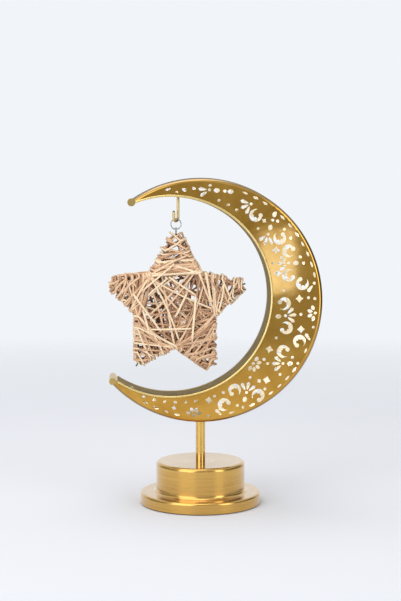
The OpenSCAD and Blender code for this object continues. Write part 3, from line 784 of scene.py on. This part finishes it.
@dataclass
class RattanStar:
    """The star: a wire frame wound with split cane.

    The star's own plane is used: u to the right, v up and w towards the front.
    """

    centre_x: float = -0.0226
    centre_z: float = 0.18445
    reach: float = 0.0666
    notch_reach: float = 0.0363
    half_depth: float = 0.015
    tip_turns: tuple[float, ...] = (0, -2, 2, -6, 0)
    notch_turns: tuple[float, ...] = (3, -6, -3, 8, 2)
    tip_shares: tuple[float, ...] = (1, 0.98, 0.955, 0.96, 0.97)
    notch_shares: tuple[float, ...] = (1.02, 0.98, 0.94, 0.95, 1)
    tip_bulges: tuple[float, ...] = (0.0034, 0.003, 0.0008, 0.0026, 0.003)
    bulge_end: float = 0.6
    tip_starts: tuple[float, ...] = (0.05, 0.13, 0.11, 0.08, 0.05)
    left_end: float = -0.0838
    bare_ends: tuple[tuple[int, float], ...] = ((2, 0.0035), (4, 0.003))
    cane: Sweep = Sweep(CANE, width=0.0021, thickness=0.0017, sides=7)
    bare_wire: Sweep = Sweep(STAR_WIRE, width=0.0014, thickness=0.0014, sides=8)
    arm: ArmWinding = ArmWinding()
    loop: EndLoop = EndLoop()
    arc: TipArc = TipArc()
    body: BodyWinding = BodyWinding()
    chords: TopChords = TopChords()
    seed: int = 7

    def place(self, u: float, v: float, w: float) -> Vector:
        """Puts a point of the star's plane into the ornament's frame, within the box of the part."""
        return Vector((max(self.left_end, self.centre_x + u), -w, self.centre_z + v))

    @staticmethod
    def spoke(degrees: float, reach: float, share: float) -> Vector:
        """Returns the point at a turn from u towards v, at a share of a reach from the middle."""
        turn = math.radians(degrees)
        return Vector((math.cos(turn), math.sin(turn))) * reach * share

    def tip(self, i: int) -> Vector:
        """Returns arm i's tip in the star's plane."""
        i %= ARMS
        return self.spoke(90 + ARM_TURN * i + self.tip_turns[i], self.reach, self.tip_shares[i])

    def notch(self, i: int) -> Vector:
        """Returns the notch that follows arm i, in the star's plane."""
        i %= ARMS
        return self.spoke(90 + ARM_TURN * (i + 0.5) + self.notch_turns[i], self.notch_reach,
                          self.notch_shares[i])

    def wire(self, i: int, right: bool, share: float) -> Spot:
        """Finds a point of an arm's outline.

        Args:
            i: The arm.
            right: True for the wire towards the next notch, False for the one before it.
            share: Distance along it, from 0 at the tip to 1 at the notch.

        Returns:
            The spot.
        """
        start, end = self.tip(i), self.notch(i if right else i - 1)
        other = self.notch(i - 1 if right else i)
        run = end - start
        out = Vector((run.y, -run.x)).normalized()
        if out.dot(other - start) > 0:
            out = -out
        return Spot(start + run * share, out, self.half_depth * share)

    def corner(self, spot: Spot, rise: float, front: bool, leaving: bool) -> list[Vector]:
        """Bends a strand round one frame wire.

        Args:
            spot: Where on the outline.
            rise: Distance from the wire's middle.
            front: True for the front wire.
            leaving: True where the strand comes off the face and goes round the edge.

        Returns:
            Three points round the wire.
        """
        side = 1 if front else -1
        found = []
        for degrees in reversed(CORNER_TURNS) if leaving else CORNER_TURNS:
            turn = math.radians(degrees)
            flat = spot.point + spot.out * rise * math.cos(turn)
            found.append(self.place(flat.x, flat.y, side * (spot.depth + rise * math.sin(turn))))
        return found

    def bulge(self, i: int, share: float) -> float:
        """Returns how much fuller arm i's winding is at a share of its length, which rounds its end off."""
        return self.tip_bulges[i] * max(0.0, 1 - share / self.bulge_end)

    def inside(self, u: float, v: float) -> bool:
        """Tells whether a point of the star's plane lies within the star's outline.

        Args:
            u: Distance to the right.
            v: Distance up.

        Returns:
            True inside.
        """
        outline = [spot for i in range(ARMS) for spot in (self.tip(i), self.notch(i))]
        found = False
        for a, b in zip(outline, outline[1:] + outline[:1]):
            if (a.y > v) != (b.y > v) and u < a.x + (b.x - a.x) * (v - a.y) / (b.y - a.y):
                found = not found
        return found

    @staticmethod
    def shade(dice: Random, rise: float) -> float:
        """Picks a strand's tone: brown where it rises little from the wires, which is painted shade deep in
        the winding, and pale in the outer layers, with a random spread.
        """
        palest, span, spread = 0.0031, 0.0017, 0.25
        return min(1.0, max(0.0, (palest - rise) / span + dice.uniform(-spread, spread)))

    @staticmethod
    def rounded(points: Sequence[Vector], dice: Random, bow: float, sway: float) -> tuple[Vector, ...]:
        """Bends each long straight run a little.

        Args:
            points: The strand's points.
            dice: Source of the bends.
            bow: How far a run's middle bends away from the star's middle plane.
            sway: The most that a run of 20 mm bends sideways.

        Returns:
            The denser run.
        """
        long_run, sway_run, near_plane = 0.006, 0.02, 0.003
        found = [points[0]]
        for a, b in zip(points, points[1:]):
            run = b - a
            if run.length > long_run:
                side = Vector((-run.z, 0.0, run.x)) * dice.uniform(-sway, sway) / sway_run
                for share in (0.15, 0.32, 0.5, 0.68, 0.85):
                    middle = a.lerp(b, share) + side * math.sin(math.pi * share)
                    if abs(middle.y) > near_plane:
                        middle.y += math.copysign(bow * math.sin(math.pi * share), middle.y)
                    found.append(middle)
            found.append(b)
        return tuple(found)

    def arm_strand(self, i: int, rise: float, dice: Random) -> Strand:
        """Winds one uneven strand round an arm, from its tip to its notches.

        Args:
            i: The arm.
            rise: Distance of the strand from the frame wires' middles.
            dice: Source of its unevenness.

        Returns:
            The strand.
        """
        arm = self.arm
        points: list[Vector] = []
        start = self.tip_starts[i] + dice.uniform(0.0, arm.start_spread)
        for k in range(arm.turns):
            share = start + (arm.end - start) * (k / (arm.turns - 1)) ** arm.crowding
            tilt = dice.uniform(-arm.tilt, arm.tilt) * (arm.tip_tilt + share)
            spots = []
            for right, way in ((False, -1), (True, 1)):
                along = share + way * tilt + dice.uniform(-arm.jitter, arm.jitter)
                spots.append(self.wire(i, right, min(1.0, max(arm.least_share, along))))
            lift = rise + self.bulge(i, share) + dice.uniform(0.0, arm.lift)
            for front in (True, False):
                first, second = spots if front else reversed(spots)
                points += self.corner(first, lift, front, False)
                points += self.corner(second, lift, front, True)
        return Strand(self.rounded(points, dice, 0.0, arm.sway), self.shade(dice, rise))

    def end_loop(self, i: int, dice: Random) -> Strand:
        """Lays one strand lengthwise over an arm's end, from the front to the back.

        Args:
            i: The arm.
            dice: Source of its way.

        Returns:
            The strand.
        """
        loop = self.loop
        tip = self.tip(i)
        way = tip.normalized()
        across = Vector((-way.y, way.x)) * dice.choice((-1, 1)) * dice.uniform(*loop.across)
        inset = (self.tip_starts[i] - min(self.tip_starts)) * loop.inset
        points = []
        for share, height in loop.path:
            middle = tip * (1 - share * loop.way_in - inset) + across * (1 + share)
            rise = self.half_depth * share * loop.hug + loop.rise + self.bulge(i, share)
            points.append(self.place(middle.x, middle.y, rise * height))
        back = [Vector((point.x, -point.y, point.z)) for point in reversed(points[:-1])]
        return Strand(tuple(points + back), self.shade(dice, loop.rise))

    def tip_arc(self, i: int, dice: Random) -> Strand:
        """Lays one strand round an arm's end in the star's plane, from edge to edge.

        Args:
            i: The arm.
            dice: Source of its way.

        Returns:
            The strand.
        """
        arc = self.arc
        tip = self.tip(i)
        way = tip.normalized()
        across = Vector((-way.y, way.x))
        radius = dice.uniform(*(arc.radius * size for size in arc.sizes))
        middle = tip - way * (radius + dice.uniform(0.0, arc.back))
        level = dice.uniform(-arc.rise, arc.rise)
        points = []
        for degrees in range(-arc.half_turn, arc.half_turn + 1, arc.step):
            turn = math.radians(degrees)
            flat = middle + (way * math.cos(turn) + across * math.sin(turn)) * radius
            points.append(self.place(flat.x, flat.y, level))
        ends = []
        for right in (False, True):
            spot = self.wire(i, right, dice.uniform(*arc.ends))
            ends.append(self.corner(spot, arc.rise, dice.random() < arc.front_ends, False)[1])
        if (ends[0] - points[0]).length > (ends[1] - points[0]).length:
            ends.reverse()
        return Strand((ends[0], *points, ends[1]), self.shade(dice, arc.rise))

    def body_strand(self, rise: float, dice: Random) -> Strand:
        """Winds one strand over the body, front and back by turns.

        Args:
            rise: Distance from the frame wires' middles.
            dice: Source of its way.

        Returns:
            The strand.
        """
        points: list[Vector] = []
        spot = self.wire(dice.randrange(ARMS), True, dice.uniform(*self.body.first_shares))
        for k in range(self.body.crossings):
            points += self.corner(spot, rise, k % 2 == 0, False)
            spot = self.next_spot(spot, dice)
            points += self.corner(spot, rise, k % 2 == 0, True)
        return Strand(self.rounded(points, dice, self.body.bow, self.body.sway), self.shade(dice, rise))

    def next_spot(self, spot: Spot, dice: Random) -> Spot:
        """Picks where a body strand goes: across the star, without leaving its outline.

        Args:
            spot: Where it comes from.
            dice: Source of its way.

        Returns:
            Where it goes.
        """
        while True:
            found = self.wire(dice.randrange(ARMS), dice.random() < 0.5, dice.uniform(*self.body.shares))
            way = found.point - spot.point
            if way.length > self.body.least_run and all(
                    self.inside(*(spot.point + way * share)) for share in self.body.tested):
                return found

    def wire_ends(self) -> list[Strand]:
        """Lays the bare ends of the frame wire beyond two of the tips.

        Returns:
            The ends.
        """
        rise, tone = 0.0006, 0.5
        ends = []
        for i, length in self.bare_ends:
            tip = self.tip(i)
            reach = tip.normalized() * length
            ends.append(Strand(tuple(self.place(*(tip + reach * share), rise * share)
                                     for share in (0.0, 0.4, 0.8, 1.0)), tone))
        return ends

    def build(self) -> None:
        """Makes the cane and the wire ends, and dresses the frame."""
        dress_node("star_wire_frame", STAR_WIRE)
        dice = Random(self.seed)
        arms = []
        for i in range(ARMS):
            arms += [self.arm_strand(i, rise, dice) for rise in self.arm.layers]
            arms += [self.end_loop(i, dice) for _ in range(self.loop.count)]
        arc_dice = Random(self.seed + 1)
        arms += [self.tip_arc(i, arc_dice) for i in range(ARMS) for _ in range(self.arc.count)]
        body = []
        for k in range(self.body.strands):
            rise = self.body.lowest + self.body.spread * k / (self.body.strands - 1)
            body.append(self.body_strand(rise, dice))
        body += self.chords.strands()
        arm_piece = self.cane.piece("cane_arm_turns", arms)
        body_piece = self.cane.piece("cane_body_turns", body)
        ends = self.bare_wire.piece("frame_wire_ends", self.wire_ends())
        for piece, slot in ((arm_piece, "rattan"), (body_piece, "rattan"), (ends, "frame_wire")):
            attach(piece, "star")
        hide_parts("rattan_arm_wraps")
        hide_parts("rattan_body_wraps")


@dataclass(frozen=True)
class SoftPanel:
    """A soft studio panel: where it stands, what it faces, its size and its power."""

    name: str
    place: Point
    aim: Point
    width: float
    height: float
    power: float
    colour: Colour = (1.0, 1.0, 1.0)

    def build(self) -> None:
        """Adds the panel as an area light."""
        light = bpy.data.lights.new(self.name, "AREA")
        light.shape = "RECTANGLE"
        light.size, light.size_y = self.width, self.height
        light.energy = self.power
        light.color = self.colour
        panel = put_in_scene(self.name, light)
        panel.location = self.place
        way = Vector(self.aim) - Vector(self.place)
        panel.rotation_euler = way.to_track_quat("-Z", "Y").to_euler()


@dataclass(frozen=True)
class CavityLamps:
    """Small fill lamps between the crescent's sheets, which light its pale inner faces."""

    reach: float = 0.1035
    angles: tuple[int, ...] = (-128, -114, -102, -78, -64, -50, -36, -22, -8, 6, 20, 34, 48, 62, 78, 94, 108)
    power: float = 0.003
    radius: float = 0.003

    def build(self) -> None:
        """Adds the lamps, unseen by the camera."""
        for k, degrees in enumerate(self.angles):
            light = bpy.data.lights.new(f"cavity_{k}", "POINT")
            light.energy = self.power
            light.shadow_soft_size = self.radius
            lamp = put_in_scene(f"cavity_{k}", light)
            turn = math.radians(degrees)
            lamp.location = (self.reach * math.cos(turn), 0.0, MOON_MIDDLE_Z + self.reach * math.sin(turn))
            lamp.visible_camera = False


@dataclass
class Studio:
    """The pale floor, the pale surroundings, the lamps and the camera.

    The room holds levels of the surroundings by degrees round the object, with 0 towards the camera. The
    camera's turn is in radians and its lens in millimetres.
    """

    pale: Colour = (0.88, 0.91, 0.945)
    ceiling: Colour = (0.9, 0.9, 0.9)
    near_floor: Colour = (0.80, 0.82, 0.87)
    far_floor: Colour = (0.85, 0.88, 0.93)
    fill_strength: float = 0.62
    floor_radius: float = 1.6
    floor_z: float = -0.0002
    floor_steps: int = 96
    camera_place: Point = (-0.0717, -1.2146, 0.2834)
    camera_turn: Point = (math.pi / 2 - 0.100, 0.0, -0.059)
    lens: float = 78.79
    shift: float = 0.0507
    room: tuple[tuple[float, float], ...] = (
        (-180, 1.0), (-142, 1.0), (-122, 0.33), (-72, 0.33), (-56, 1.0), (-28, 1.0), (-14, 0.51), (33, 0.48),
        (41, 1.0), (54, 1.0), (66, 0.2), (122, 0.18), (145, 1.0), (180, 1.0))
    panels: tuple[SoftPanel, ...] = (
        SoftPanel("left_panel", (-0.95, -1.2, 0.65), (0, 0, 0.15), 1.3, 2.2, 12.5),
        SoftPanel("right_panel", (1.1, -1.05, 0.45), (0, 0, 0.12), 0.6, 1.6, 4.8),
        SoftPanel("top_panel", (-0.2, 0.1, 1.6), (0, 0, 0.1), 1.2, 1.2, 9.0),
        SoftPanel("window_panel", (0.209, -1.2, 0.170), (0.05, 0, 0.2), 0.067, 0.114, 0.062,
                  (0.35, 0.44, 1.0)))

    def camera(self) -> None:
        """Sets the camera at the photograph's angle."""
        data = bpy.data.cameras.new("photo_camera")
        data.lens = self.lens
        data.shift_y = self.shift
        data.clip_start, data.clip_end = 0.01, 20.0
        camera = put_in_scene("photo_camera", data)
        camera.location = self.camera_place
        camera.rotation_euler = self.camera_turn
        bpy.context.scene.camera = camera

    def surroundings(self) -> None:
        """Fills the world with pale light. Shiny surfaces mirror a room with darker sides."""
        world = bpy.data.worlds.new("pale_room")
        board = Board.emptied(world)
        x, y, z = board.parts(board.add("ShaderNodeTexCoord").outputs["Generated"])
        turn = board.maths("ARCTAN2", x, board.maths("MULTIPLY", y, -1.0))
        share = board.maths("ADD", board.maths("DIVIDE", turn, 2 * math.pi), 0.5)
        ramp = board.add("ShaderNodeValToRGB", {0: share})
        stops = ramp.color_ramp.elements
        while len(stops) < len(self.room):
            stops.new(1.0)
        for stop, (degrees, level) in zip(stops, self.room):
            stop.position = degrees / 360 + 0.5
            stop.color = (level, level, level, 1.0)
        walls = board.blend(board.climb(z, start=0.35, slope=2.5), ramp.outputs[0], self.ceiling)
        tone = board.blend(1.0, walls, self.pale, mode="MULTIPLY")
        shine, seen, fill = (
            board.add("ShaderNodeBackground", {"Color": colour, "Strength": strength}).outputs[0]
            for colour, strength in ((tone, 1.0), ((*self.pale, 1.0), 1.0), (WHITE, self.fill_strength)))
        path = board.add("ShaderNodeLightPath").outputs
        glossy = board.add("ShaderNodeMixShader", {0: path["Is Glossy Ray"], 1: fill, 2: shine}).outputs[0]
        clear = board.maths("ADD", path["Is Camera Ray"], path["Is Transmission Ray"], clamp=True)
        both = board.add("ShaderNodeMixShader", {0: clear, 1: glossy, 2: seen}).outputs[0]
        board.add("ShaderNodeOutputWorld", {0: both})
        bpy.context.scene.world = world

    def floor(self) -> None:
        """Lays a pale round floor that fades into the surroundings."""
        steps = self.floor_steps
        turns = [2 * math.pi * k / steps for k in range(steps)]
        radius = self.floor_radius
        rim = [(radius * math.cos(turn), radius * math.sin(turn), 0.0) for turn in turns]
        mesh = bpy.data.meshes.new("floor")
        mesh.from_pydata([(0, 0, 0), *rim], [], [(0, 1 + k, 1 + (k + 1) % steps) for k in range(steps)])
        floor = put_in_scene("floor", mesh)
        floor.location = (0.0, 0.0, self.floor_z)
        material = bpy.data.materials.new("pale_floor")
        board = Board.emptied(material)
        away = board.measure("LENGTH", board.coordinates())
        fade = board.climb(board.maths("DIVIDE", away, self.floor_radius), start=0.35, slope=1.7)
        tone = board.blend(fade, self.near_floor, self.far_floor)
        matt = board.add("ShaderNodeBsdfDiffuse", {"Color": tone}).outputs[0]
        gone = board.add("ShaderNodeBsdfTransparent").outputs[0]
        both = board.add("ShaderNodeMixShader", {0: fade, 1: matt, 2: gone}).outputs[0]
        board.add("ShaderNodeOutputMaterial", {0: both})
        mesh.materials.append(material)

    def build(self) -> None:
        """Sets up the whole studio."""
        self.camera()
        self.surroundings()
        self.floor()
        for panel in self.panels:
            panel.build()
        CavityLamps().build()
        bpy.context.scene.view_settings.view_transform = "Standard"


def main() -> None:
    """Builds the studio and dresses each sub-assembly in order."""
    logging.basicConfig(level=logging.INFO, format="%(name)s: %(message)s")
    for part in (Studio(), SpunBase(), Stem(), Crescent(), Hanger(), RattanStar()):
        part.build()
        LOG.info("done: %s", type(part).__name__)


if __name__ == "__main__":
    main()
